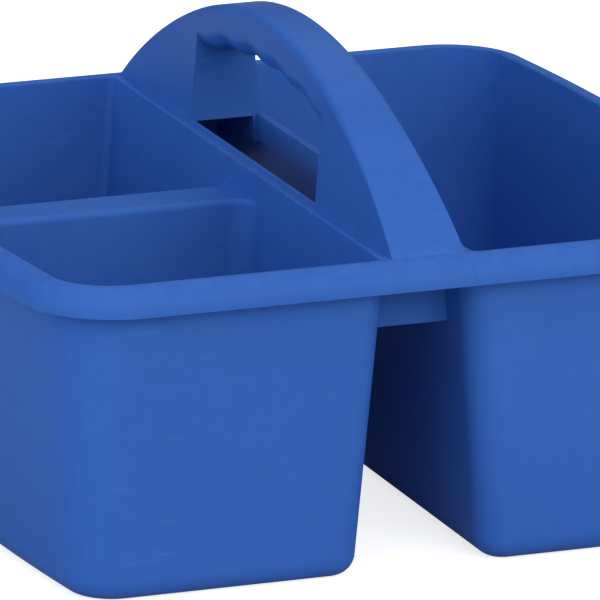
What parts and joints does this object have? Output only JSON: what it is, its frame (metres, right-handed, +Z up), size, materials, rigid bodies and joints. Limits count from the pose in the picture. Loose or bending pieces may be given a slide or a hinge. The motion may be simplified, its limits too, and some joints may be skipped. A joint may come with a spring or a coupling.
{
  "type": "tool storage caddy",
  "caption": "Open-topped moulded caddy with small tubs on one side, a long tub on the other, a rolled rim and an arched central carrying handle with a finger opening.",
  "frame": {"origin": "centre of the overall box at the height of the floors' undersides", "axes": "+Z up; +Y runs along the handle from front to rear; +X runs across the handle, towards the long tub"},
  "size_m": [0.2294, 0.235, 0.1313],
  "materials": {
    "blue_plastic": "satin injection-moulded polypropylene, fine even grain, slightly worn at the edges"
  },
  "bodies": {
    "root": {"left_front_cup": "blue_plastic", "left_rear_cup": "blue_plastic", "right_cup": "blue_plastic", "divider_bridge": "blue_plastic", "left_rim": "blue_plastic", "right_rim": "blue_plastic", "handle_grip": "blue_plastic", "front_left_cheek": "blue_plastic", "front_right_cheek": "blue_plastic", "rear_left_cheek": "blue_plastic", "rear_right_cheek": "blue_plastic", "front_band": "blue_plastic", "rear_band": "blue_plastic", "front_end_wall": "blue_plastic", "rear_end_wall": "blue_plastic", "left_lip": "blue_plastic", "right_lip": "blue_plastic", "front_gap_web": "blue_plastic", "rear_gap_web": "blue_plastic"}
  },
  "joints": []
}
